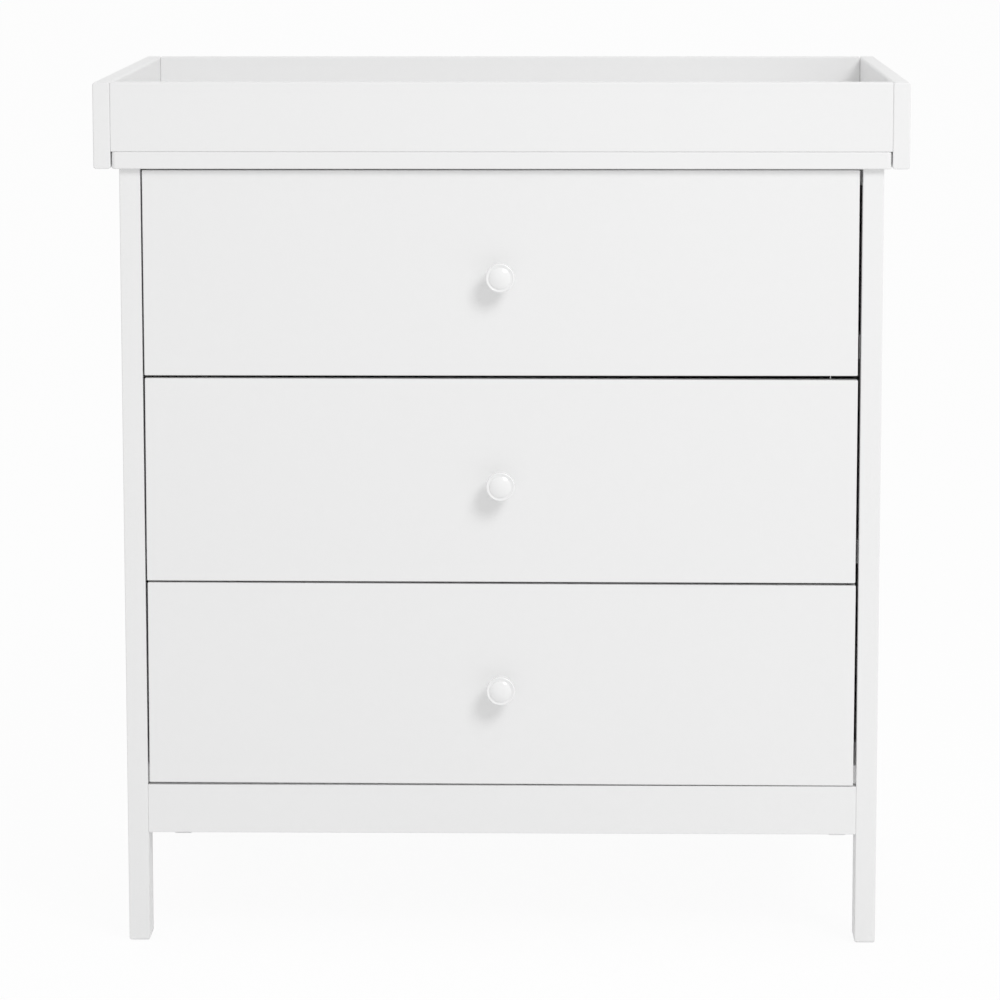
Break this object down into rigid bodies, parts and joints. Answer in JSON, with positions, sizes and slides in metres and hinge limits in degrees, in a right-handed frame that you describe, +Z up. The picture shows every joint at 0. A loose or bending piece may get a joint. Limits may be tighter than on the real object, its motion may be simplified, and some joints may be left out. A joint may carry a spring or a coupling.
{
  "type": "changing dresser",
  "caption": "Chest of inset drawers with round knobs on square legs, under a lift-off open changing tray whose side boards lap over the ends of the top.",
  "frame": {"origin": "on the floor, in the middle of the width and halfway between the knobs' noses and the back edge of the top", "axes": "+Z up, -Y out of the drawers towards the user, +X to the right as the user sees it"},
  "size_m": [0.85, 0.59, 0.918],
  "materials": {
    "painted_wood": "satin white paint",
    "painted_board": "thin hardboard, white faced",
    "gloss_paint": "glossy white paint",
    "coated_steel": "white epoxy coat",
    "zinc_steel": "bright zinc plate",
    "nylon": "moulded nylon",
    "bare_wood": "bare beech"
  },
  "bodies": {
    "carcass": {"top_panel": "painted_wood", "front_left_post": "painted_wood", "front_right_post": "painted_wood", "back_left_post": "painted_wood", "back_right_post": "painted_wood", "left_side_panel": "painted_wood", "right_side_panel": "painted_wood", "front_apron": "painted_wood", "front_top_rail": "painted_wood", "back_bottom_rail": "painted_wood", "back_top_rail": "painted_wood", "back_panel": "painted_board", "foot_glides": "nylon", "carcass_cam_fittings": "zinc_steel", "side_panel_dowels": "bare_wood", "carcass_screws": "zinc_steel", "lower_left_cabinet_runner": "coated_steel", "lower_right_cabinet_runner": "coated_steel", "middle_left_cabinet_runner": "coated_steel", "middle_right_cabinet_runner": "coated_steel", "upper_left_cabinet_runner": "coated_steel", "upper_right_cabinet_runner": "coated_steel"},
    "lower_drawer": {"lower_drawer_front": "painted_wood", "lower_drawer_left_side": "painted_wood", "lower_drawer_right_side": "painted_wood", "lower_drawer_back": "painted_wood", "lower_drawer_bottom": "painted_board", "lower_drawer_knob": "gloss_paint", "lower_drawer_fixings": "zinc_steel", "lower_drawer_left_runner": "coated_steel", "lower_drawer_right_runner": "coated_steel"},
    "lower_cabinet_rollers_body": {"lower_cabinet_rollers": "nylon"},
    "lower_drawer_rollers_body": {"lower_drawer_rollers": "nylon"},
    "middle_drawer": {"middle_drawer_front": "painted_wood", "middle_drawer_left_side": "painted_wood", "middle_drawer_right_side": "painted_wood", "middle_drawer_back": "painted_wood", "middle_drawer_bottom": "painted_board", "middle_drawer_knob": "gloss_paint", "middle_drawer_fixings": "zinc_steel", "middle_drawer_left_runner": "coated_steel", "middle_drawer_right_runner": "coated_steel"},
    "middle_cabinet_rollers_body": {"middle_cabinet_rollers": "nylon"},
    "middle_drawer_rollers_body": {"middle_drawer_rollers": "nylon"},
    "upper_drawer": {"upper_drawer_front": "painted_wood", "upper_drawer_left_side": "painted_wood", "upper_drawer_right_side": "painted_wood", "upper_drawer_back": "painted_wood", "upper_drawer_bottom": "painted_board", "upper_drawer_knob": "gloss_paint", "upper_drawer_fixings": "zinc_steel", "upper_drawer_left_runner": "coated_steel", "upper_drawer_right_runner": "coated_steel"},
    "upper_cabinet_rollers_body": {"upper_cabinet_rollers": "nylon"},
    "upper_drawer_rollers_body": {"upper_drawer_rollers": "nylon"},
    "changing_tray": {"tray_left_side": "painted_wood", "tray_right_side": "painted_wood", "tray_front_rail": "painted_wood", "tray_back_rail": "painted_wood", "tray_cam_fittings": "zinc_steel"}
  },
  "joints": [
    {"name": "lower_drawer_slide", "type": "slide", "parent": "carcass", "child": "lower_drawer", "axis": [0, -1, 0], "range_m": [0, 0.35]},
    {"name": "lower_cabinet_rollers_spin", "type": "hinge", "parent": "carcass", "child": "lower_cabinet_rollers_body", "pos_m": [0, -0.233, 0.2023], "axis": [1, 0, 0], "continuous": true},
    {"name": "lower_drawer_rollers_spin", "type": "hinge", "parent": "lower_drawer", "child": "lower_drawer_rollers_body", "pos_m": [0, 0.232, 0.2014], "axis": [1, 0, 0], "continuous": true},
    {"name": "middle_drawer_slide", "type": "slide", "parent": "carcass", "child": "middle_drawer", "axis": [0, -1, 0], "range_m": [0, 0.35]},
    {"name": "middle_cabinet_rollers_spin", "type": "hinge", "parent": "carcass", "child": "middle_cabinet_rollers_body", "pos_m": [0, -0.233, 0.42043], "axis": [1, 0, 0], "continuous": true},
    {"name": "middle_drawer_rollers_spin", "type": "hinge", "parent": "middle_drawer", "child": "middle_drawer_rollers_body", "pos_m": [0, 0.232, 0.41953], "axis": [1, 0, 0], "continuous": true},
    {"name": "upper_drawer_slide", "type": "slide", "parent": "carcass", "child": "upper_drawer", "axis": [0, -1, 0], "range_m": [0, 0.35]},
    {"name": "upper_cabinet_rollers_spin", "type": "hinge", "parent": "carcass", "child": "upper_cabinet_rollers_body", "pos_m": [0, -0.233, 0.63857], "axis": [1, 0, 0], "continuous": true},
    {"name": "upper_drawer_rollers_spin", "type": "hinge", "parent": "upper_drawer", "child": "upper_drawer_rollers_body", "pos_m": [0, 0.232, 0.63767], "axis": [1, 0, 0], "continuous": true},
    {"name": "tray_lift_off", "type": "slide", "parent": "carcass", "child": "changing_tray", "axis": [0, 0, 1], "range_m": [0, 0.15]}
  ],
  "couplings": [
    {"joint": "lower_cabinet_rollers_spin", "follows": "lower_drawer_slide", "rad_per_m": 105.26},
    {"joint": "lower_drawer_rollers_spin", "follows": "lower_drawer_slide", "rad_per_m": 105.26},
    {"joint": "middle_cabinet_rollers_spin", "follows": "middle_drawer_slide", "rad_per_m": 105.26},
    {"joint": "middle_drawer_rollers_spin", "follows": "middle_drawer_slide", "rad_per_m": 105.26},
    {"joint": "upper_cabinet_rollers_spin", "follows": "upper_drawer_slide", "rad_per_m": 105.26},
    {"joint": "upper_drawer_rollers_spin", "follows": "upper_drawer_slide", "rad_per_m": 105.26}
  ]
}
